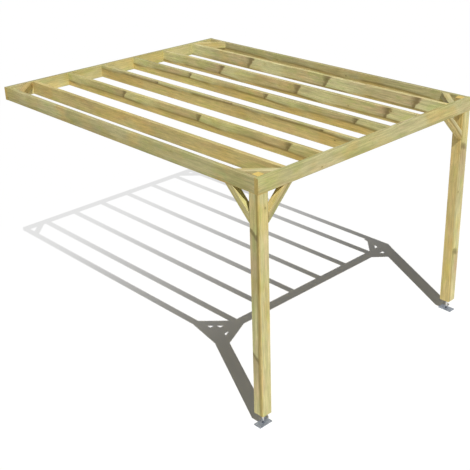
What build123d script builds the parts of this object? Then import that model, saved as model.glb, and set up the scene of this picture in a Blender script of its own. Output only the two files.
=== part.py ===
# Lean-to garden pergola in planed softwood. A flat roof frame hangs on a wall
# ledger at the back and stands on two braced posts at the front.
# Millimetres, +Z up. The origin is the middle of the ledger's back face, the
# front is towards -Y, and +X is to the right of someone who faces the wall.

import os
from math import sqrt

from build123d import *

# Overall sizes, from wall to front edge and from the ground to the top
width = 3070
depth = 4020
height = 2500

# Roof timbers: front beam, wall ledger, side beams and rafters
beam_thickness = 45
beam_height = 145
arris_radius = 5
rafter_count = 6

# Posts
post_side = 120
post_chamfer = 8

# Square braces, mitred at both ends
brace_side = 68
brace_leg = 285
brace_arris_radius = 4
brace_toe_gap = 2.5
corner_brace_drop = 4

# Steel feet: a bolted base plate, a round stem and a head plate under the post
foot_height = 125
base_length = 160
base_width = 90
base_thickness = 6
base_corner_radius = 5
base_hole_radius = 6
base_hole_margin = 20
stem_radius = 11
weld_leg = 4
head_side = 90
head_thickness = 5
head_corner_radius = 4
head_hole_radius = 3.5
head_hole_margin = 14

# Cuts run past the surface that they open into
overrun = 20

# Levels
beam_top = beam_height / 2
beam_bottom = -beam_height / 2
ground = beam_top - height
post_bottom = ground + foot_height

# Faces of the roof frame
side_face = width / 2
side_inner_face = side_face - beam_thickness
front_face = -depth
front_inner_face = front_face + beam_thickness
ledger_inner_face = -beam_thickness
frame_span = ledger_inner_face - front_inner_face

# The first and last rafters stand just beyond the toes of the corner braces
first_rafter = -side_inner_face + brace_leg + brace_toe_gap + beam_thickness / 2
rafter_pitch = -2 * first_rafter / (rafter_count - 1)

# Posts stand in the front corners, flush with the outer faces of the beams
post_x = side_face - post_side / 2
post_y = front_face + post_side / 2
post_inner_x = side_face - post_side
post_back_y = front_face + post_side

# Heel of a brace: where its inner edge meets the timbers that it ties together
brace_heel = brace_leg - brace_side * sqrt(2)

# Stem between the two plates of a foot
stem_bottom = ground + base_thickness
stem_length = foot_height - base_thickness - head_thickness

sides = {"left": -1, "right": 1}

os.makedirs("parts", exist_ok=True)

# Front beam and wall ledger, laid across the whole width
cross_timbers = {
    "front_beam": front_face + beam_thickness / 2,
    "wall_ledger": ledger_inner_face + beam_thickness / 2,
}
for name, middle in cross_timbers.items():
    with BuildPart() as cross_timber:
        with BuildSketch(Plane.YZ.offset(-side_face)):
            with Locations((middle, 0)):
                RectangleRounded(beam_thickness, beam_height, arris_radius)
        extrude(amount=width)
    cross_timber.part.label = name
    export_step(cross_timber.part, f"parts/{name}.step")

# Side beams and rafters, butted between the front beam and the ledger
long_timbers = {
    "left_side_beam": -side_face + beam_thickness / 2,
    "right_side_beam": side_face - beam_thickness / 2,
}
for number in range(rafter_count):
    long_timbers[f"rafter_{number + 1}"] = first_rafter + number * rafter_pitch
for name, middle in long_timbers.items():
    with BuildPart() as long_timber:
        with BuildSketch(Plane.XZ.offset(-ledger_inner_face)):
            with Locations((middle, 0)):
                RectangleRounded(beam_thickness, beam_height, arris_radius)
        extrude(amount=frame_span)
    long_timber.part.label = name
    export_step(long_timber.part, f"parts/{name}.step")

# Posts, rebated on both outer faces so that the beams lap round a square tenon
for side_name, side in sides.items():
    with BuildPart() as post:
        with BuildSketch(Plane.XY.offset(post_bottom)):
            with Locations((side * post_x, post_y)):
                Rectangle(post_side, post_side)
        extrude(amount=beam_top - post_bottom)
        chamfer(post.edges().filter_by(Axis.Z), post_chamfer)
        with BuildSketch(Plane.XY.offset(beam_bottom)):
            with Locations((side * post_x, front_face)):
                Rectangle(post_side + 2 * overrun, 2 * beam_thickness)
            with Locations((side * side_face, post_y)):
                Rectangle(2 * beam_thickness, post_side + 2 * overrun)
        extrude(amount=beam_height + overrun, mode=Mode.SUBTRACT)
    post.part.label = f"{side_name}_post"
    export_step(post.part, f"parts/{side_name}_post.step")

# Each brace ties two timbers that meet at a corner: the corner on its outer or
# upper face, the directions of the two timbers, and the way its thickness runs
brace_top = beam_top - corner_brace_drop
up, down = Vector(0, 0, 1), Vector(0, 0, -1)
back, forward = Vector(0, 1, 0), Vector(0, -1, 0)
brace_seats = {}
for side_name, side in sides.items():
    inward = Vector(-side, 0, 0)
    under_front_beam = (side * post_inner_x, front_face, beam_bottom)
    under_side_beam = (side * side_face, post_back_y, beam_bottom)
    front_corner = (side * side_inner_face, front_inner_face, brace_top)
    back_corner = (side * side_inner_face, ledger_inner_face, brace_top)
    brace_seats[f"{side_name}_front_knee_brace"] = (under_front_beam, inward, down, back)
    brace_seats[f"{side_name}_side_knee_brace"] = (under_side_beam, back, down, inward)
    brace_seats[f"front_{side_name}_corner_brace"] = (front_corner, inward, back, down)
    brace_seats[f"back_{side_name}_corner_brace"] = (back_corner, inward, forward, down)
for name, (corner, along, across, thickness_way) in brace_seats.items():
    with BuildPart() as brace:
        with BuildSketch(Plane(origin=corner, x_dir=along, z_dir=along.cross(across))):
            with BuildLine():
                Polyline((brace_leg, 0), (0, brace_leg), (0, brace_heel), (brace_heel, 0), close=True)
            make_face()
        extrude(amount=brace_side, dir=thickness_way)
        fillet(brace.edges().sort_by(SortBy.LENGTH)[-4:], brace_arris_radius)
    brace.part.label = name
    export_step(brace.part, f"parts/{name}.step")

# Feet. The left base plate lies along the front, the right one is turned a quarter
foot_turns = {"left": Vector(1, 0, 0), "right": Vector(0, 1, 0)}
for side_name, side in sides.items():
    foot_x = side * post_x
    base_plane = Plane(origin=(foot_x, post_y, ground), x_dir=foot_turns[side_name], z_dir=up)
    with BuildPart() as base_plate:
        with BuildSketch(base_plane):
            RectangleRounded(base_length, base_width, base_corner_radius)
            with GridLocations(base_length - 2 * base_hole_margin, base_width - 2 * base_hole_margin, 2, 2):
                Circle(base_hole_radius, mode=Mode.SUBTRACT)
        extrude(amount=base_thickness)
    base_plate.part.label = f"{side_name}_base_plate"
    export_step(base_plate.part, f"parts/{side_name}_base_plate.step")

    # Round bar with a weld bead at each end, turned about its own axis
    with BuildPart() as stem:
        with BuildSketch(Plane(origin=(foot_x, post_y, stem_bottom), x_dir=(1, 0, 0), z_dir=(0, -1, 0))):
            with BuildLine():
                Polyline(
                    (0, 0),
                    (stem_radius + weld_leg, 0),
                    (stem_radius, weld_leg),
                    (stem_radius, stem_length - weld_leg),
                    (stem_radius + weld_leg, stem_length),
                    (0, stem_length),
                    close=True,
                )
            make_face()
        revolve(axis=Axis((foot_x, post_y, stem_bottom), (0, 0, 1)))
    stem.part.label = f"{side_name}_foot_stem"
    export_step(stem.part, f"parts/{side_name}_foot_stem.step")

    with BuildPart() as head_plate:
        with BuildSketch(Plane.XY.offset(post_bottom - head_thickness)):
            with Locations((foot_x, post_y)):
                RectangleRounded(head_side, head_side, head_corner_radius)
                with GridLocations(head_side - 2 * head_hole_margin, head_side - 2 * head_hole_margin, 2, 2):
                    Circle(head_hole_radius, mode=Mode.SUBTRACT)
        extrude(amount=head_thickness)
    head_plate.part.label = f"{side_name}_head_plate"
    export_step(head_plate.part, f"parts/{side_name}_head_plate.step")
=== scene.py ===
# Lean-to timber pergola: treated pine on galvanised feet
from math import radians

import bpy
from mathutils import Euler, Matrix, Vector


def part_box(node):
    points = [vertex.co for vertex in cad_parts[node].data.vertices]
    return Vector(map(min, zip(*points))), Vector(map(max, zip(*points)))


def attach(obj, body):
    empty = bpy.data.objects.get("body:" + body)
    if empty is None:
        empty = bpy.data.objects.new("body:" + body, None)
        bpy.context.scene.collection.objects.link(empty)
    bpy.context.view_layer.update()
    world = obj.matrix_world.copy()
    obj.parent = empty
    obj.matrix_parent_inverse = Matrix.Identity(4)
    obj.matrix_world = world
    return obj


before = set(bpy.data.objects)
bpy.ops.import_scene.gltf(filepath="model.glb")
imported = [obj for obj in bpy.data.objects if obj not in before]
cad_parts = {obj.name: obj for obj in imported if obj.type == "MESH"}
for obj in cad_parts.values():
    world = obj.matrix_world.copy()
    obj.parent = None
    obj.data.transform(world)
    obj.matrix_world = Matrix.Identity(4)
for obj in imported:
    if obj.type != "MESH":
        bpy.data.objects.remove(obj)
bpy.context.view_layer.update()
bpy.ops.object.select_all(action="DESELECT")  # the load leaves the solids selected
scene = bpy.context.scene
scene.view_settings.view_transform = "Standard"
print("frame loaded,", len(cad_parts), "solids")


# Camera at the photo's viewing angle
shot = {
    "place": (-6.221, -8.876, 2.795),
    "tiltDown": 24.905,
    "turn": -43.440,
    "roll": -1.418,
    "focalPixels": 893.9,
    "imagePixels": 470,
    "sensorWidth": 36,
    "shift": (-0.0345, -0.0208),
}
cameraData = bpy.data.cameras.new("camera")
cameraData.sensor_width = shot["sensorWidth"]
cameraData.lens = shot["focalPixels"] / shot["imagePixels"] * shot["sensorWidth"]
cameraData.shift_x, cameraData.shift_y = shot["shift"]
camera = bpy.data.objects.new("camera", cameraData)
scene.collection.objects.link(camera)
aim = Euler((radians(90 - shot["tiltDown"]), 0, radians(shot["turn"]))).to_matrix()
aim = aim @ Matrix.Rotation(radians(shot["roll"]), 3, "Z")
camera.matrix_world = Matrix.Translation(shot["place"]) @ aim.to_4x4()
scene.camera = camera
print("camera set")


# Small helpers for node trees: a value is either a number, a colour or another node's socket
def plug(tree, socket, value):
    if isinstance(value, bpy.types.NodeSocket):
        tree.links.new(value, socket)
    else:
        socket.default_value = value


def calc(tree, operation, *values, clamp=False):
    step = tree.nodes.new("ShaderNodeMath")
    step.operation = operation
    step.use_clamp = clamp
    for socket, value in zip(step.inputs, values):
        plug(tree, socket, value)
    return step.outputs[0]


def times(tree, value, *others):
    for other in others:
        value = calc(tree, "MULTIPLY", value, other)
    return value


def timesPlus(tree, value, amount, extra, clamp=False):  # value times amount, plus extra
    return calc(tree, "MULTIPLY_ADD", value, amount, extra, clamp=clamp)


def flip(tree, value):
    return calc(tree, "SUBTRACT", 1, value)


def ease(tree, value, low, high):  # 0 at low, 1 at high, smooth between
    step = tree.nodes.new("ShaderNodeMapRange")
    step.interpolation_type = "SMOOTHSTEP"
    plug(tree, step.inputs["Value"], value)
    plug(tree, step.inputs["From Min"], low)
    plug(tree, step.inputs["From Max"], high)
    return step.outputs[0]


def fade(tree, value, low, high):  # 1 at low, 0 at high
    return flip(tree, ease(tree, value, low, high))


def size(tree, value):  # without its sign
    return calc(tree, "ABSOLUTE", value)


def vectorCalc(tree, operation, *values):
    step = tree.nodes.new("ShaderNodeVectorMath")
    step.operation = operation
    for socket, value in zip(step.inputs, values):
        plug(tree, socket, value)
    return step.outputs["Value"] if operation in ("LENGTH", "DOT_PRODUCT") else step.outputs["Vector"]


def parts(tree, vector):
    step = tree.nodes.new("ShaderNodeSeparateXYZ")
    plug(tree, step.inputs[0], vector)
    return step.outputs


def noise(tree, vector, stretch, detail=2, roughness=0.5):
    step = tree.nodes.new("ShaderNodeTexNoise")
    step.inputs["Scale"].default_value = 1
    step.inputs["Detail"].default_value = detail
    step.inputs["Roughness"].default_value = roughness
    plug(tree, step.inputs["Vector"], vectorCalc(tree, "MULTIPLY", vector, stretch))
    return step


def mixColour(tree, amount, first, second, mode="MIX"):
    step = tree.nodes.new("ShaderNodeMix")
    step.data_type = "RGBA"
    step.blend_type = mode
    plug(tree, step.inputs[0], amount)
    plug(tree, step.inputs[6], first)  # 6, 7 and 2 are a mix node's colour sockets
    plug(tree, step.inputs[7], second)
    return step.outputs[2]


def newMaterial(name):
    material = bpy.data.materials.new(name)
    material.use_nodes = True
    return material, material.node_tree, material.node_tree.nodes["Principled BSDF"]


def addBump(tree, shader, height, look):
    bump = tree.nodes.new("ShaderNodeBump")
    bump.inputs["Strength"].default_value, bump.inputs["Distance"].default_value = look
    plug(tree, bump.inputs["Height"], height)
    tree.links.new(bump.outputs["Normal"], shader.inputs["Normal"])


# Treated pine as a solid: rings round the pith, green sapwood over golden heartwood, spike knots
# on one face, pin knots anywhere, drying checks, worn arrises and end grain.
# Lengths are in metres, in a board's own axes with its length on Z.
pine = {
    "sapPale": (0.620, 0.562, 0.285, 1),
    "sapLate": (0.410, 0.350, 0.135, 1),
    "heartPale": (0.676, 0.550, 0.232, 1),
    "heartLate": (0.468, 0.366, 0.112, 1),
    "goldTint": (1.03, 0.93, 0.74, 1),
    "mossTint": (0.89, 0.90, 0.76, 1),
    "pinkTint": (1.06, 0.960, 1.03, 1),
    "paleTint": (1.10, 1.17, 1.22, 1),
    "greenTint": (0.87, 0.97, 0.77, 1),
    "topTint": (0.60, 0.62, 0.65, 1),
    "knotColour": (0.150, 0.112, 0.028, 1),
    "lineColour": (0.290, 0.208, 0.048, 1),
    "edgeColour": (0.700, 0.640, 0.390, 1),
    "endPale": (0.720, 0.545, 0.180, 1),
    "endLate": (0.500, 0.330, 0.070, 1),
    "specular": 0.35,
    "bump": (0.6, 0.0006),  # strength and depth
}
timberSockets = {  # what each timber sets for itself
    "Pith": "NodeSocketVector", "Heart": "NodeSocketFloat", "Half Section": "NodeSocketVector",
    "Knot Start": "NodeSocketFloat", "Knot Side": "NodeSocketVector", "Knot Reach": "NodeSocketFloat",
    "Knot Lean": "NodeSocketFloat", "Knot Root": "NodeSocketFloat", "Knot Flare": "NodeSocketFloat",
    "Knot Soft": "NodeSocketFloat", "Knot Gold": "NodeSocketFloat", "Knot Core": "NodeSocketVector",
    "Knot Spread": "NodeSocketFloat", "Line Spread": "NodeSocketFloat", "End Shade": "NodeSocketFloat",
    "Tone": "NodeSocketColor",
}
surfaceSockets = {
    "Board": "NodeSocketVector", "Board Normal": "NodeSocketVector", "Top Darkening": "NodeSocketFloat",
}
resultSockets = {"Color": "NodeSocketColor", "Roughness": "NodeSocketFloat", "Height": "NodeSocketFloat"}
pineGroup = bpy.data.node_groups.new("treatedPine", "ShaderNodeTree")
for label, kind in (surfaceSockets | timberSockets).items():
    pineGroup.interface.new_socket(label, in_out="INPUT", socket_type=kind)
for label, kind in resultSockets.items():
    pineGroup.interface.new_socket(label, in_out="OUTPUT", socket_type=kind)
tree = pineGroup
given = tree.nodes.new("NodeGroupInput").outputs
result = tree.nodes.new("NodeGroupOutput").inputs
board = given["Board"]
soft = given["Knot Soft"]  # 0 sharp on its lower side, 1 soft all round
acrossGrain = (1, 1, 0)
noiseMiddle = 0.5

# the pith wanders a little, so rings run out of the faces
pith = {"wanderScale": (0.9, 0.9, 0.75), "wander": (0.04, 0.04, 0)}
fromPith = vectorCalc(tree, "SUBTRACT", board, given["Pith"])
drift = noise(tree, fromPith, pith["wanderScale"]).outputs["Color"]
drift = vectorCalc(tree, "SUBTRACT", drift, (noiseMiddle, noiseMiddle, noiseMiddle))
drift = vectorCalc(tree, "MULTIPLY", drift, pith["wander"])
section = vectorCalc(tree, "MULTIPLY", vectorCalc(tree, "ADD", fromPith, drift), acrossGrain)
radius = vectorCalc(tree, "LENGTH", section)
outward = calc(tree, "SUBTRACT", radius, given["Heart"])  # past the heartwood's edge

# noise fields: where they are measured from, stretch, detail and roughness
figure = {
    "fibre": (board, (420, 420, 8), 3, 0.6),
    "streak": (board, (48, 48, 1.1), 3, 0.55),
    "fleck": (board, (40, 40, 11), 3, 0.6),
    "ragged": (board, (30, 30, 30), 3),
    "split": (board, (55, 55, 1.0), 2),
    "splitPatch": (board, (7, 7, 1.3), 1),
    "mottle": (fromPith, (70, 70, 6), 4, 0.6),
    "bold": (fromPith, (38, 38, 0.6), 1),
    "uneven": (fromPith, (16, 16, 0.5), 2),
    "flush": (fromPith, (11, 11, 3.4), 3, 0.6),
    "cloud": (fromPith, (6, 6, 1.6), 2),
    "blotch": (fromPith, (4, 4, 2.3), 2),
}
field = {name: noise(tree, *look).outputs[0] for name, look in figure.items()}
ragged = calc(tree, "SUBTRACT", field["ragged"], noiseMiddle)

# spike knots cross the sapwood from the heart line outwards, each with a pale stretch before it
# and a brownish pink one after it; rise and fall count in knot widths
spikes = {
    "spacing": 1.232,
    "ragged": 0.060,
    "rise": (-0.20, 0.22), "softRise": (-0.90, -0.50),  # softRise and softFall are added on a soft knot
    "fall": (0.40, 1.7), "softFall": (-0.10, -0.50),
    "coreFade": (0.15, 1),
    "tail": (0.02, 0.26), "softTail": (0, 0.34), "tailShade": -0.16,
    "pale": (-0.62, -0.38), "paleEnd": (-0.2, 0.0), "softPale": -0.5,
    "pink": (0.15, 0.65), "pinkFlush": (0.34, 0.60),
    "faceEdge": (-0.003, 0.004), "sapEdge": (-0.006, 0.008),
    "strength": 0.72,
}


def softEdge(tree, soft, sharp, softer):  # where an edge starts and ends
    return [timesPlus(tree, soft, change, place) for place, change in zip(sharp, softer)]


along = calc(tree, "SUBTRACT", parts(tree, board)["Z"], given["Knot Start"])
nearest = calc(tree, "WRAP", along, spikes["spacing"] / 2, -spikes["spacing"] / 2)
skew = timesPlus(tree, outward, given["Knot Lean"], nearest)
skew = timesPlus(tree, ragged, spikes["ragged"], skew)
pastHeart = calc(tree, "MAXIMUM", outward, 0)
girth = timesPlus(tree, pastHeart, given["Knot Flare"], given["Knot Root"])
fromKnot = calc(tree, "DIVIDE", skew, girth)
fromCore = vectorCalc(tree, "SUBTRACT", board, given["Knot Core"])
fromCore = vectorCalc(tree, "LENGTH", vectorCalc(tree, "MULTIPLY", fromCore, acrossGrain))
fromCore = calc(tree, "DIVIDE", fromCore, given["Knot Spread"])
onSide = vectorCalc(tree, "DOT_PRODUCT", board, given["Knot Side"])
onSide = ease(tree, calc(tree, "SUBTRACT", onSide, given["Knot Reach"]), *spikes["faceEdge"])
onSap = times(tree, onSide, ease(tree, outward, *spikes["sapEdge"]))
knotRise = ease(tree, fromKnot, *softEdge(tree, soft, spikes["rise"], spikes["softRise"]))
knotFall = fade(tree, fromKnot, *softEdge(tree, soft, spikes["fall"], spikes["softFall"]))
spike = times(tree, knotRise, knotFall, fade(tree, fromCore, *spikes["coreFade"]), onSap)
pastEdge = ease(tree, fromKnot, *spikes["rise"])
knotTail = fade(tree, skew, *softEdge(tree, soft, spikes["tail"], spikes["softTail"]))
knotTail = times(tree, pastEdge, knotTail, onSap)
knotPink = times(tree, pastEdge, fade(tree, skew, *spikes["pink"]), onSap)
knotPink = times(tree, knotPink, ease(tree, field["flush"], *spikes["pinkFlush"]))
knotPale = times(tree, ease(tree, skew, *spikes["pale"]), fade(tree, fromKnot, *spikes["paleEnd"]), onSap)
knotPale = times(tree, knotPale, timesPlus(tree, soft, spikes["softPale"], 1))

# pin knots, a few along each face
pins = {
    "cells": (9, 9, 2.1),  # to the metre
    "squash": 0.62,
    "ragged": 0.004,
    "core": (0.0055, 0.0105), "coreStrength": 0.72,
    "collar": (0.006, 0.034), "collarStrength": 0.30,
}
pinSpace = vectorCalc(tree, "MULTIPLY", fromPith, pins["cells"])
pinCells = tree.nodes.new("ShaderNodeTexVoronoi")
plug(tree, pinCells.inputs["Vector"], pinSpace)
pinCells.inputs["Scale"].default_value = 1
toPin = vectorCalc(tree, "SUBTRACT", pinSpace, pinCells.outputs["Position"])
wide, deep, long = pins["cells"]
toPin = vectorCalc(tree, "MULTIPLY", toPin, (1 / wide, 1 / deep, pins["squash"] / long))
toPin = timesPlus(tree, ragged, pins["ragged"], vectorCalc(tree, "LENGTH", toPin))
pin = fade(tree, toPin, *pins["core"])
pinCollar = fade(tree, toPin, *pins["collar"])

# growth rings bend round knots
rings = {
    "width": 0.0046,
    "bendReach": (0.01, 0.17), "knotBend": 0.010, "pinBend": 0.009,
    "uneven": 3.2,
    "late": (0.30, 0.86), "lateEnd": (0.93, 1.0),  # where in a ring the dark latewood lies
    "bold": (1.1, 0.15),
}
bend = times(tree, fade(tree, size(tree, skew), *rings["bendReach"]), onSide, rings["knotBend"])
bend = timesPlus(tree, pinCollar, rings["pinBend"], bend)
ringPlace = calc(tree, "DIVIDE", calc(tree, "ADD", radius, bend), rings["width"])
ringPlace = timesPlus(tree, field["uneven"], rings["uneven"], ringPlace)
phase = calc(tree, "FRACT", ringPlace)
late = times(tree, ease(tree, phase, *rings["late"]), fade(tree, phase, *rings["lateEnd"]))
late = calc(tree, "MULTIPLY", late, timesPlus(tree, field["bold"], *rings["bold"]), clamp=True)

# the heart line sinks a little past each knot, then fades and starts again higher up
heartEdge = {
    "wander": 0.012,
    "blend": (-0.007, 0.006),
    "restart": 0.42, "sink": 0.040,
    "lineEnd": (0.26, 0.40), "lineStart": (-0.70, -0.60), "lineCloud": (0.20, 0.50),
    "line": (0.001, 0.016), "lineStrength": 0.74,
    "near": (0.002, 0.050), "nearShade": -0.13,
}
pastKnot = times(tree, nearest, -1)
pastKnot = calc(tree, "WRAP", pastKnot, heartEdge["restart"], heartEdge["restart"] - spikes["spacing"])
sinking = times(tree, calc(tree, "MAXIMUM", pastKnot, 0), heartEdge["sink"], flip(tree, soft))
wander = calc(tree, "SUBTRACT", field["streak"], noiseMiddle)
edgeOfHeart = calc(tree, "ADD", timesPlus(tree, wander, heartEdge["wander"], outward), sinking)
toHeartEdge = size(tree, edgeOfHeart)
beforeKnot = ease(tree, pastKnot, *heartEdge["lineStart"])
beforeKnot = times(tree, beforeKnot, calc(tree, "LESS_THAN", pastKnot, 0))
lineFade = fade(tree, size(tree, pastKnot), *heartEdge["lineEnd"])
lineFade = calc(tree, "MAXIMUM", lineFade, beforeKnot)
lineFade = times(tree, lineFade, ease(tree, field["cloud"], *heartEdge["lineCloud"]))
lineSide = calc(tree, "ADD", onSide, given["Line Spread"], clamp=True)
heartLine = times(tree, fade(tree, toHeartEdge, *heartEdge["line"]), lineSide)
heartLine = times(tree, heartLine, calc(tree, "MAXIMUM", lineFade, soft))
nearHeart = times(tree, fade(tree, toHeartEdge, *heartEdge["near"]), flip(tree, soft))

# a golden patch where a knot lies hidden, and a mossy one past it, to the side of Knot Gold's sign
patches = {
    "gold": (0.03, 0.15), "goldFlush": (0.30, 0.55),
    "mossStart": (0.05, 0.16), "mossEnd": (0.22, 0.45),
    "blotch": (0.50, 0.66), "blotchStrength": 0.7,
}
goldAmount = size(tree, given["Knot Gold"])
pastGold = times(tree, nearest, given["Knot Gold"])
knotGold = times(tree, fade(tree, size(tree, nearest), *patches["gold"]), goldAmount)
knotMoss = fade(tree, pastGold, *patches["mossEnd"])
knotMoss = times(tree, knotMoss, ease(tree, pastGold, *patches["mossStart"]), goldAmount)
golden = times(tree, ease(tree, field["blotch"], *patches["blotch"]), patches["blotchStrength"])
golden = timesPlus(tree, knotGold, ease(tree, field["flush"], *patches["goldFlush"]), golden, clamp=True)

# sapwood over heartwood, then the patches, pink and green changes, lines, shade and knots
tints = {"pink": (0.52, 0.68), "green": (0.48, 0.32), "flush": 0.7, "streak": 0.25, "fleck": 0.12}
shades = {  # amount and base
    "fibre": (0.30, 0.85), "cloud": (0.56, 0.72), "mottle": (0.90, 0.55),
    "streak": (0.44, 0.78), "fleck": (0.26, 0.87),
}
sapwood = mixColour(tree, late, pine["sapPale"], pine["sapLate"])
heartwood = mixColour(tree, late, pine["heartPale"], pine["heartLate"])
wood = mixColour(tree, ease(tree, edgeOfHeart, *heartEdge["blend"]), heartwood, sapwood)
tinting = [(golden, "goldTint"), (knotMoss, "mossTint")]
for name in ("flush", "streak", "fleck"):
    tinting.append((times(tree, ease(tree, field[name], *tints["pink"]), tints[name]), "pinkTint"))
    tinting.append((times(tree, ease(tree, field[name], *tints["green"]), tints[name]), "greenTint"))
tinting += [(knotPink, "pinkTint"), (knotPale, "paleTint")]
for amount, tint in tinting:
    wood = mixColour(tree, amount, wood, pine[tint], "MULTIPLY")
wood = mixColour(tree, times(tree, heartLine, heartEdge["lineStrength"]), wood, pine["lineColour"])
shade = timesPlus(tree, nearHeart, heartEdge["nearShade"], 1)
shade = times(tree, shade, timesPlus(tree, knotTail, spikes["tailShade"], 1))
for name, depth in shades.items():
    shade = times(tree, shade, timesPlus(tree, field[name], *depth))
wood = mixColour(tree, 1, wood, shade, "MULTIPLY")
wood = mixColour(tree, times(tree, spike, spikes["strength"]), wood, pine["knotColour"])
wood = mixColour(tree, times(tree, pinCollar, pins["collarStrength"]), wood, pine["heartLate"])
wood = mixColour(tree, times(tree, pin, pins["coreStrength"]), wood, pine["knotColour"])

# drying checks: fine splits along the grain, only here and there
checks = {"width": (0.0015, 0.006), "patch": (0.56, 0.66), "strength": 0.55}
split = size(tree, calc(tree, "SUBTRACT", field["split"], noiseMiddle))
split = times(tree, fade(tree, split, *checks["width"]), ease(tree, field["splitPatch"], *checks["patch"]))
wood = mixColour(tree, times(tree, split, checks["strength"]), wood, pine["knotColour"])

# arrises are rubbed pale, and upper faces are darkened and greyed, by a share set for each timber
arris = {"fuzz": 0.004, "width": (0.002, 0.009), "strength": 0.15}
spare = vectorCalc(tree, "SUBTRACT", given["Half Section"], vectorCalc(tree, "ABSOLUTE", board))
spare = parts(tree, spare)
toArris = calc(tree, "MAXIMUM", spare["X"], spare["Y"])
rubbed = fade(tree, timesPlus(tree, field["fibre"], arris["fuzz"], toArris), *arris["width"])
wood = mixColour(tree, times(tree, rubbed, arris["strength"]), wood, pine["edgeColour"])
wood = mixColour(tree, given["Top Darkening"], wood, pine["topTint"], "MULTIPLY")

# sawn ends soak up more and show the rings as arcs
sawn = {"facing": (0.75, 0.9), "soak": (0.5, 0.75)}
facing = size(tree, parts(tree, given["Board Normal"])["Z"])
sawnEnd = ease(tree, facing, *sawn["facing"])
endGrain = mixColour(tree, late, pine["endPale"], pine["endLate"])
soaked = times(tree, timesPlus(tree, field["streak"], *sawn["soak"]), given["End Shade"])
endGrain = mixColour(tree, 1, endGrain, soaked, "MULTIPLY")
wood = mixColour(tree, sawnEnd, wood, endGrain)
plug(tree, result["Color"], mixColour(tree, 1, wood, given["Tone"], "MULTIPLY"))

# how rough and how raised each mark is
roughBy = {"base": 0.66, "late": -0.10, "fibre": 0.14, "spike": -0.12, "sawnEnd": 0.12}
raiseBy = {"base": 0, "late": 0.35, "fibre": 0.55, "spike": 0.5, "pin": 0.5, "split": -1.2}
marks = {
    "late": late, "fibre": field["fibre"], "spike": spike, "pin": pin, "split": split, "sawnEnd": sawnEnd,
}
for label, amounts in (("Roughness", roughBy), ("Height", raiseBy)):
    total = amounts["base"]
    for name, mark in marks.items():
        if name in amounts:
            total = timesPlus(tree, mark, amounts[name], total)
    plug(tree, result[label], total)
print("pine group built,", len(pineGroup.nodes), "nodes")


# How each timber is laid, where its pith and heart line are, its knots and its tone.
# turn lays the board's length on Z; pith is measured from the board's middle.
endless = 9  # further than any timber reaches
plain = {
    "knotStart": 0, "knotSide": (0, 0, 0), "knotReach": 1, "knotLean": 0, "knotRoot": 0.02, "knotFlare": 0,
    "knotSoft": 0, "knotGold": 0, "knotCore": (0, 0, 0), "knotSpread": endless, "lineSpread": 1,
    "endShade": 1, "topDarkening": 0,
}
beam = dict(plain, turn=(0, -90, 0), halfSection=(0.0725, 0.0225, endless), endShade=0.84)
side = dict(plain, turn=(90, 0, 0), halfSection=(0.0225, 0.0725, endless))
knotted = dict(
    side, knotStart=-0.335, knotSide=(-1, 0, 0), knotReach=0.018, knotLean=0.8,
    knotRoot=0.022, knotFlare=0.60,
)
post = dict(  # laid top end downwards, as its knots lean
    plain, turn=(180, 0, 0), halfSection=(0.060, 0.060, endless), knotReach=0.055, knotSoft=1, lineSpread=0,
)
brace = dict(plain, halfSection=(0.034, 0.034, endless))
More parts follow.
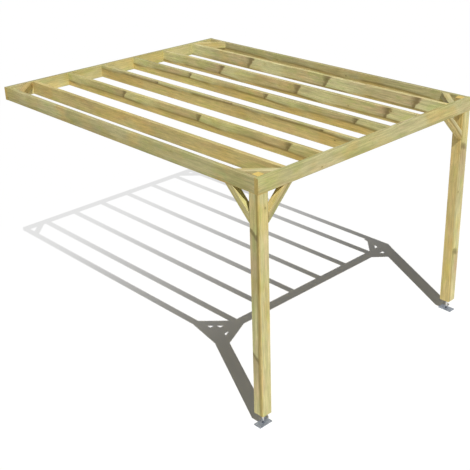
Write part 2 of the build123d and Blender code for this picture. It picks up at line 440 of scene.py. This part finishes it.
timbers = {
    "front_beam": dict(
        beam, pith=(0.16, 0.03, 0.3), heart=0.105, tone=(0.98, 0.995, 1.0),
        knotStart=-0.350, knotGold=1, lineSpread=0, topDarkening=0.18,
    ),
    "wall_ledger": dict(
        beam, pith=(0.14, 0.05, 4.1), heart=0.085, tone=(1.0, 1.0, 0.96),
        knotStart=-0.950, knotGold=0.8, topDarkening=0.80,
    ),
    "left_side_beam": dict(
        side, pith=(0.05, 0.17, 7.7), heart=0.130, tone=(1.0, 1.0, 0.985),
        knotStart=-0.335, knotGold=-1, lineSpread=0, topDarkening=0.50,
    ),
    "right_side_beam": dict(side, pith=(0.02, 0.13, 2.9), heart=0.135, tone=(0.97, 0.96, 0.93), topDarkening=0.62),
    "rafter_1": dict(side, pith=(0.02, -0.12, 5.3), heart=0.205, tone=(1.05, 1.06, 1.08), topDarkening=0.40),
    "rafter_2": dict(knotted, pith=(0.01, 0.15, 1.3), heart=0.147, tone=(1.10, 1.05, 0.885), topDarkening=0.40),
    "rafter_3": dict(knotted, pith=(0.02, 0.12, 9.1), heart=0.176, tone=(1.06, 1.04, 0.98), topDarkening=0.08),
    "rafter_4": dict(knotted, pith=(0.01, 0.15, 6.2), heart=0.166, tone=(1.10, 1.08, 0.97), topDarkening=0.80),
    "rafter_5": dict(knotted, pith=(0.03, 0.16, 3.4), heart=0.133, tone=(1.13, 1.09, 1.03), topDarkening=0.40),
    "rafter_6": dict(knotted, pith=(0.02, 0.17, 8.6), heart=0.122, tone=(1.14, 1.12, 1.10), topDarkening=0.06),
    "left_post": dict(
        post, pith=(-0.100, 0.065, 2.2), heart=0.050, tone=(1.09, 1.09, 1.06), endShade=1.07,
        knotStart=-0.640, knotSide=(-1, 0, 0), knotLean=0.8, knotRoot=0.042, knotFlare=-0.22,
    ),
    "right_post": dict(
        post, pith=(-0.085, -0.050, 5.8), heart=0.105, tone=(1.09, 1.08, 1.09),
        knotStart=-0.690, knotSide=(0, 1, 0), knotLean=-0.5, knotRoot=0.044,
        knotCore=(-0.015, 0.060, 0), knotSpread=0.072,
    ),
    "left_front_knee_brace": dict(
        brace, turn=(0, -45, 0), pith=(-0.120, 0.010, 1.1), heart=0.098, tone=(1.0, 0.99, 0.97),
    ),
    "right_front_knee_brace": dict(
        brace, turn=(0, 45, 0), pith=(-0.090, -0.010, 2.7), heart=0.118, tone=(1.0, 0.99, 0.96),
    ),
    "left_side_knee_brace": dict(
        brace, turn=(45, 0, 0), pith=(0.09, 0.05, 3.9), heart=0.05, tone=(0.98, 1.0, 0.98),
    ),
    "right_side_knee_brace": dict(
        brace, turn=(45, 0, 0), pith=(0.10, 0.06, 4.6), heart=0.07, tone=(1.0, 1.0, 1.0),
    ),
    "front_left_corner_brace": dict(
        brace, turn=(90, 45, 0), pith=(0.05, 0.10, 6.4), heart=0.06, tone=(1.15, 1.12, 1.18),
    ),
    "front_right_corner_brace": dict(
        brace, turn=(90, -45, 0), pith=(0.04, 0.11, 7.3), heart=0.07, tone=(1.0, 1.0, 1.0),
    ),
    "back_left_corner_brace": dict(
        brace, turn=(90, -45, 0), pith=(0.06, 0.09, 8.2), heart=0.30, tone=(0.80, 0.73, 0.64),
    ),
    "back_right_corner_brace": dict(
        brace, turn=(90, 45, 0), pith=(0.05, 0.10, 9.5), heart=0.30, tone=(0.99, 1.02, 1.10),
    ),
}
upperFace = (0.7, 0.95)  # how far a face looks up before it is darkened


def pineMaterial(name, timber):
    material, tree, shader = newMaterial(name + "_pine")
    shader.inputs["Specular IOR Level"].default_value = pine["specular"]
    low, high = (Vector(corner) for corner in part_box(name))
    turn = Euler([radians(angle) for angle in timber["turn"]])
    coordinates = tree.nodes.new("ShaderNodeTexCoord").outputs
    lay = tree.nodes.new("ShaderNodeMapping")  # the board's middle to the origin, its length on Z
    lay.inputs["Rotation"].default_value = turn
    lay.inputs["Location"].default_value = -(turn.to_matrix() @ ((low + high) / 2))
    layNormal = tree.nodes.new("ShaderNodeMapping")
    layNormal.vector_type = "NORMAL"
    layNormal.inputs["Rotation"].default_value = turn
    tree.links.new(coordinates["Object"], lay.inputs["Vector"])
    tree.links.new(coordinates["Normal"], layNormal.inputs["Vector"])
    wood = tree.nodes.new("ShaderNodeGroup")
    wood.node_tree = pineGroup
    tree.links.new(lay.outputs[0], wood.inputs["Board"])
    tree.links.new(layNormal.outputs[0], wood.inputs["Board Normal"])
    # faces that look up are darkened and greyed by the timber's share
    upwards = ease(tree, parts(tree, coordinates["Normal"])["Z"], *upperFace)
    plug(tree, wood.inputs["Top Darkening"], times(tree, upwards, timber["topDarkening"]))
    for label, kind in timberSockets.items():
        value = timber[label[0].lower() + label[1:].replace(" ", "")]
        wood.inputs[label].default_value = (*value, 1) if kind == "NodeSocketColor" else value
    tree.links.new(wood.outputs["Color"], shader.inputs["Base Color"])
    tree.links.new(wood.outputs["Roughness"], shader.inputs["Roughness"])
    addBump(tree, shader, wood.outputs["Height"], pine["bump"])
    return material


def dress(name, material):
    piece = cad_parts[name]
    piece.data.materials.clear()
    piece.data.materials.append(material)


for name, timber in timbers.items():
    dress(name, pineMaterial(name, timber))
print("timber dressed,", len(timbers), "pieces")


# Zinc on steel: spangles and dull patches on the dipped plates, smooth and bright on the turned stems
zinc = {
    "metallic": 0.85,
    "spangleSize": 0.009,
    "smear": ((38, 38, 38), 4, 0.6),  # stretch, detail and roughness
    "patches": (0.48, 0.70), "patchStrength": 0.7,
    "raise": (0.8, 0.2),  # by smears and by flakes
    "bump": (0.35, 0.0004),
    "dipped": {
        "pale": (0.360, 0.390, 0.430, 1),
        "dull": (0.190, 0.210, 0.245, 1),
        "patina": (0.410, 0.430, 0.460, 1),
        "roughness": (0.30, 0.18, 0.20),  # lowest, and what flakes and smears add
    },
    "bright": {
        "pale": (0.720, 0.705, 0.680, 1),
        "dull": (0.560, 0.550, 0.535, 1),
        "patina": (0.640, 0.630, 0.610, 1),
        "roughness": (0.06, 0.04, 0.10),
        "weld": (0.125, 0.138, 0.160, 1),  # darker and duller over the stem's lowest few centimetres, where it is welded to its plate
        "weldFoot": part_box("left_foot_stem")[0][2],
        "weldHeight": (0.020, 0.040),
        "weldRoughness": 0.45,
    },
}


def zincMaterial(name, skin):
    material, tree, shader = newMaterial(name)
    shader.inputs["Metallic"].default_value = zinc["metallic"]
    coordinates = tree.nodes.new("ShaderNodeTexCoord").outputs["Object"]
    spangles = tree.nodes.new("ShaderNodeTexVoronoi")
    spangles.inputs["Scale"].default_value = 1 / zinc["spangleSize"]
    tree.links.new(coordinates, spangles.inputs["Vector"])
    flake = parts(tree, spangles.outputs["Color"])["X"]
    smear = noise(tree, coordinates, *zinc["smear"]).outputs[0]
    patches = times(tree, ease(tree, smear, *zinc["patches"]), zinc["patchStrength"])
    coat = mixColour(tree, flake, skin["dull"], skin["pale"])
    coat = mixColour(tree, patches, coat, skin["patina"])
    smooth, flakeRough, smearRough = skin["roughness"]
    rough = timesPlus(tree, flake, flakeRough, smooth)
    rough = timesPlus(tree, smear, smearRough, rough)
    # the stem is darker and rougher over its lowest few centimetres
    if "weld" in skin:
        height = calc(tree, "SUBTRACT", parts(tree, coordinates)["Z"], skin["weldFoot"])
        nearStemFoot = fade(tree, height, *skin["weldHeight"])
        coat = mixColour(tree, nearStemFoot, coat, skin["weld"])
        rough = timesPlus(tree, nearStemFoot, skin["weldRoughness"], rough)
    plug(tree, shader.inputs["Base Color"], coat)
    plug(tree, shader.inputs["Roughness"], rough)
    smearRaise, flakeRaise = zinc["raise"]
    relief = timesPlus(tree, smear, smearRaise, times(tree, flake, flakeRaise))
    addBump(tree, shader, relief, zinc["bump"])
    return material


dippedZinc = zincMaterial("dipped_zinc", zinc["dipped"])
brightZinc = zincMaterial("bright_zinc", zinc["bright"])
for hand in ("left", "right"):
    dress(hand + "_base_plate", dippedZinc)
    dress(hand + "_head_plate", dippedZinc)
    dress(hand + "_foot_stem", brightZinc)
print("feet dressed")


# Yellow zinc on the screws: golden with a faint green and pink bloom
yellow = {
    "gold": (0.560, 0.430, 0.180, 1),
    "bloom": (0.470, 0.450, 0.250, 1), "bloomAt": (0.46, 0.62),
    "blush": (0.580, 0.390, 0.260, 1), "blushAt": (0.44, 0.30),
    "metallic": 0.9,
    "tarnish": ((160, 160, 160), 2),
    "scuffs": ((900, 900, 900), 3, 0.6), "scuffShade": (0.5, 0.75), "scuffRoughness": (0.35, 0.22),
    "bump": (0.2, 0.0001),
}
yellowZinc, tree, shader = newMaterial("yellow_zinc")
shader.inputs["Metallic"].default_value = yellow["metallic"]
coordinates = tree.nodes.new("ShaderNodeTexCoord").outputs["Object"]
tarnish = noise(tree, coordinates, *yellow["tarnish"]).outputs[0]
scuffs = noise(tree, coordinates, *yellow["scuffs"]).outputs[0]
finish = mixColour(tree, ease(tree, tarnish, *yellow["bloomAt"]), yellow["gold"], yellow["bloom"])
finish = mixColour(tree, ease(tree, tarnish, *yellow["blushAt"]), finish, yellow["blush"])
finish = mixColour(tree, 1, finish, timesPlus(tree, scuffs, *yellow["scuffShade"]), "MULTIPLY")
plug(tree, shader.inputs["Base Color"], finish)
plug(tree, shader.inputs["Roughness"], timesPlus(tree, scuffs, *yellow["scuffRoughness"]))
addBump(tree, shader, scuffs, yellow["bump"])


smoothAngle = 32  # edges sharper than this stay crisp
steep = 0.9  # a face past this looks up or down
nearTop = 0.9  # an edge or face past this share of the height is on top
bevelSteps = 2


# Select parts of a mesh by place or normal, ending in edit mode
def pick(piece, element, test):
    bpy.ops.object.mode_set(mode="EDIT")
    bpy.ops.mesh.select_mode(type=element)
    bpy.ops.mesh.select_all(action="DESELECT")
    bpy.ops.object.mode_set(mode="OBJECT")
    mesh = piece.data
    if element == "FACE":
        for face in mesh.polygons:
            face.select = test(face.center, face.normal)
    elif element == "EDGE":
        for edge in mesh.edges:
            edge.select = test(*(mesh.vertices[index].co for index in edge.vertices))
    else:
        for vertex in mesh.vertices:
            vertex.select = test(vertex.co)
    bpy.ops.object.mode_set(mode="EDIT")


def addDisc(sides, radius, bottom, top):
    bpy.ops.mesh.primitive_cylinder_add(
        vertices=sides, radius=radius, depth=top - bottom, location=(0, 0, (bottom + top) / 2),
    )


def scaleAcross(share):
    bpy.ops.transform.resize(value=(share, share, 1), center_override=(0, 0, 0))


# One copy of a fastener per seat, each turned to look out of the timber, joined into one piece
def fasten(name, pattern, seats, material):
    copies = []
    for place, outwards in seats:
        copy = pattern.copy()
        copy.data = pattern.data.copy()
        turn = Vector(outwards).to_track_quat("Z", "Y").to_matrix().to_4x4()
        copy.data.transform(Matrix.Translation(place) @ turn)
        scene.collection.objects.link(copy)
        copies.append(copy)
    bpy.ops.object.select_all(action="DESELECT")
    for copy in copies:
        copy.select_set(True)
    bpy.context.view_layer.objects.active = copies[0]
    bpy.ops.object.join()
    piece = bpy.context.object
    piece.name = name
    bpy.ops.object.shade_smooth_by_angle(angle=radians(smoothAngle))
    piece.data.materials.clear()
    piece.data.materials.append(material)
    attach(piece, "root")
    bpy.ops.object.select_all(action="DESELECT")
    print(name + ",", len(copies), "heads")


# Countersunk screw with a six-pointed recess; only its head shows
screw = {
    "sides": 24,
    "headRadius": 0.0048,
    "proud": 0.0006,
    "sunk": 0.0014,
    "neckShare": 0.6,
    "recessRadius": 0.0028,
    "recessDepth": 0.00045,
    "recessReach": 1.1,
    "notchShare": 0.66,
    "bottomShare": 0.86,
    "middle": 0.0002,
    "rim": 0.00022,
    "rimReach": 0.98,
}


def atNotch(at):  # two of every four points round the recess
    if at.z < 0 or at.xy.length > screw["recessRadius"] * screw["recessReach"]:
        return False
    return round(at.xy.angle_signed(Vector((1, 0))) / radians(360 / screw["sides"])) % 4 in (2, 3)


def atRim(first, second):
    onTop = min(first.z, second.z) > screw["proud"] * nearTop
    return onTop and min(first.xy.length, second.xy.length) > screw["headRadius"] * screw["rimReach"]


addDisc(screw["sides"], screw["headRadius"], -screw["sunk"], screw["proud"])
bpy.ops.object.transform_apply(location=True)
screwHead = bpy.context.object
pick(screwHead, "FACE", lambda center, normal: normal.z < -steep)
scaleAcross(screw["neckShare"])
pick(screwHead, "FACE", lambda center, normal: normal.z > steep)
bpy.ops.mesh.inset(thickness=screw["headRadius"] - screw["recessRadius"])
pick(screwHead, "VERT", atNotch)
scaleAcross(screw["notchShare"])
pick(screwHead, "FACE", lambda center, normal: normal.z > steep and center.xy.length < screw["middle"])
bpy.ops.mesh.extrude_region_move(TRANSFORM_OT_translate={"value": (0, 0, -screw["recessDepth"])})
scaleAcross(screw["bottomShare"])
pick(screwHead, "EDGE", atRim)
bpy.ops.mesh.bevel(offset=screw["rim"], segments=bevelSteps, affect="EDGES")
bpy.ops.mesh.select_all(action="SELECT")
bpy.ops.mesh.normals_make_consistent(inside=False)
bpy.ops.object.mode_set(mode="OBJECT")

# Two screws through the front beam into each timber and post behind it, two through each side beam
# into its post
beamScrews = {"height": 0.040, "postHeight": 0.026}
frontFace, backFace = (corner[1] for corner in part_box("front_beam"))
beamSeats = []
for name in ["left_side_beam", "right_side_beam"] + ["rafter_" + str(number) for number in range(1, 7)]:
    low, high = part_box(name)
    for height in (-beamScrews["height"], beamScrews["height"]):
        beamSeats.append((((low[0] + high[0]) / 2, frontFace, height), (0, -1, 0)))
for hand, sign, inner, outer in (("left", -1, 1, 0), ("right", 1, 0, 1)):  # inner and outer end of a box
    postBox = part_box(hand + "_post")
    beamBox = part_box(hand + "_side_beam")
    tenonX = (postBox[inner][0] + beamBox[inner][0]) / 2
    tenonY = (postBox[1][1] + backFace) / 2
    for height in (-beamScrews["postHeight"], beamScrews["postHeight"]):
        beamSeats.append(((tenonX, frontFace, height), (0, -1, 0)))
        beamSeats.append(((beamBox[outer][0], tenonY, height), (sign, 0, 0)))
fasten("beam_screws", screwHead, beamSeats, yellowZinc)

# One screw near each end of a brace, in the face that looks away from its corner
braceScrews = {
    "fromToe": 0.046,
    "away": {
        "left_front_knee_brace": (1, 0, -1),
        "right_front_knee_brace": (-1, 0, -1),
        "left_side_knee_brace": (0, 1, -1),
        "right_side_knee_brace": (0, 1, -1),
        "front_left_corner_brace": (1, 1, 0),
        "front_right_corner_brace": (-1, 1, 0),
        "back_left_corner_brace": (1, -1, 0),
        "back_right_corner_brace": (-1, -1, 0),
    },
}
braceSeats = []
for name, away in braceScrews["away"].items():
    low, high = (Vector(corner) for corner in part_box(name))
    corner = (low + high - Vector(away) * (high - low)) / 2
    first, second = [axis for axis in range(3) if away[axis]]
    leg = high[first] - low[first]
    for step in (braceScrews["fromToe"], leg - braceScrews["fromToe"]):
        place = corner.copy()
        place[first] += away[first] * step
        place[second] += away[second] * (leg - step)
        braceSeats.append((place, away))
fasten("brace_screws", screwHead, braceSeats, yellowZinc)
bpy.data.objects.remove(screwHead)

# Coach screw: hexagon head on a washer, up through the head plate into the post
coachScrew = {
    "headSides": 6,
    "headRadius": 0.0058,
    "headHeight": 0.0040,
    "washerSides": 24,
    "washerRadius": 0.0080,
    "washerHeight": 0.0012,
    "washerEdge": 0.00025,
    "crown": ((0.0009, 0.0004), (0.0008, 0.0001)),  # inset and lift, twice
    "holeInset": 0.014,
}
headTop = coachScrew["washerHeight"] + coachScrew["headHeight"]
addDisc(coachScrew["washerSides"], coachScrew["washerRadius"], 0, coachScrew["washerHeight"])
bpy.ops.object.transform_apply(location=True)
coachHead = bpy.context.object
pick(coachHead, "EDGE", lambda first, second: min(first.z, second.z) > coachScrew["washerHeight"] * nearTop)
bpy.ops.mesh.bevel(offset=coachScrew["washerEdge"], segments=bevelSteps, affect="EDGES")
bpy.ops.mesh.select_all(action="DESELECT")
addDisc(coachScrew["headSides"], coachScrew["headRadius"], coachScrew["washerHeight"], headTop)
pick(coachHead, "FACE", lambda center, normal: normal.z > steep and center.z > headTop * nearTop)
for inset, lift in coachScrew["crown"]:
    bpy.ops.mesh.inset(thickness=inset)
    bpy.ops.transform.translate(value=(0, 0, lift))
bpy.ops.object.mode_set(mode="OBJECT")
coachSeats = []
for hand in ("left", "right"):
    low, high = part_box(hand + "_head_plate")
    for x in (low[0] + coachScrew["holeInset"], high[0] - coachScrew["holeInset"]):
        for y in (low[1] + coachScrew["holeInset"], high[1] - coachScrew["holeInset"]):
            coachSeats.append(((x, y, low[2]), (0, 0, -1)))
fasten("coach_screws", coachHead, coachSeats, dippedZinc)
bpy.data.objects.remove(coachHead)


# Plain pale floor that bounces the light back up, a sun from the front left and an even sky
studio = {
    "groundLevel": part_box("left_base_plate")[0][2],
    "floorSize": 240,
    "floorColour": (1.0, 1.0, 1.0, 1),
    "floorGlow": (0.038, 0.038, 0.034, 1),
    "bounceNear": (0.96, 0.96, 0.96, 1),  # the bounce weakens away from the posts
    "bounceFar": (0.66, 0.66, 0.66, 1),
    "bounceMiddle": (0, -4.0, 0),
    "bounceFade": (2.0, 5.5),
    "shadowLift": 0.745,  # the shadow pales towards the back
    "liftFade": (-3.0, 1.5),
    "sunDirection": (0.324, 0.631, -1.0),
    "sunStrength": 3.38,
    "sunAngle": 0.25,
    "skyStrength": 0.095,
}
white = (1, 1, 1, 1)
black = (0, 0, 0, 1)


def seenRays(tree):  # 1 for what the camera sees, also in metal
    rays = tree.nodes.new("ShaderNodeLightPath").outputs
    mirrored = calc(tree, "ADD", rays["Is Glossy Ray"], rays["Is Transmission Ray"])
    return calc(tree, "ADD", rays["Is Camera Ray"], mirrored, clamp=True)


bpy.ops.mesh.primitive_plane_add(size=studio["floorSize"], location=(0, 0, studio["groundLevel"]))
floor = bpy.context.object
floor.name = "floor"
paper, tree, shader = newMaterial("paper_floor")
shader.inputs["Roughness"].default_value = 1
shader.inputs["Specular IOR Level"].default_value = 0
shader.inputs["Emission Strength"].default_value = 1
seen = seenRays(tree)
coordinates = tree.nodes.new("ShaderNodeTexCoord").outputs["Object"]
fromPosts = vectorCalc(tree, "LENGTH", vectorCalc(tree, "SUBTRACT", coordinates, studio["bounceMiddle"]))
weaker = ease(tree, fromPosts, *studio["bounceFade"])
bounce = mixColour(tree, weaker, studio["bounceNear"], studio["bounceFar"])
# painted light: as the camera sees it, the floor's colour darkens and its glow rises towards the back, so
# its shadow pales there while the lit floor stays white
towardsBack = ease(tree, parts(tree, coordinates)["Y"], *studio["liftFade"])
lift = times(tree, towardsBack, studio["shadowLift"])
shaded = mixColour(tree, lift, studio["floorColour"], black)
glow = mixColour(tree, lift, studio["floorGlow"], studio["floorColour"])
plug(tree, shader.inputs["Base Color"], mixColour(tree, seen, bounce, shaded))
plug(tree, shader.inputs["Emission Color"], mixColour(tree, seen, black, glow))
fromBelow = tree.nodes.new("ShaderNodeMixShader")  # clear from below, so that the underside shows
clear = tree.nodes.new("ShaderNodeBsdfTransparent")
tree.links.new(tree.nodes.new("ShaderNodeNewGeometry").outputs["Backfacing"], fromBelow.inputs[0])
tree.links.new(shader.outputs[0], fromBelow.inputs[1])
tree.links.new(clear.outputs[0], fromBelow.inputs[2])
tree.links.new(fromBelow.outputs[0], tree.nodes["Material Output"].inputs["Surface"])
floor.data.materials.append(paper)

sunLamp = bpy.data.lights.new("sun", "SUN")
sunLamp.energy = studio["sunStrength"]
sunLamp.angle = radians(studio["sunAngle"])
sun = bpy.data.objects.new("sun", sunLamp)
sun.rotation_euler = Vector(studio["sunDirection"]).to_track_quat("-Z", "Y").to_euler()
scene.collection.objects.link(sun)

sky = bpy.data.worlds.new("sky")
sky.use_nodes = True
tree = sky.node_tree
backdrop = tree.nodes["Background"]
backdrop.inputs["Color"].default_value = white
strength = timesPlus(tree, seenRays(tree), 1 - studio["skyStrength"], studio["skyStrength"])
plug(tree, backdrop.inputs["Strength"], strength)
scene.world = sky
print("floor and light set")
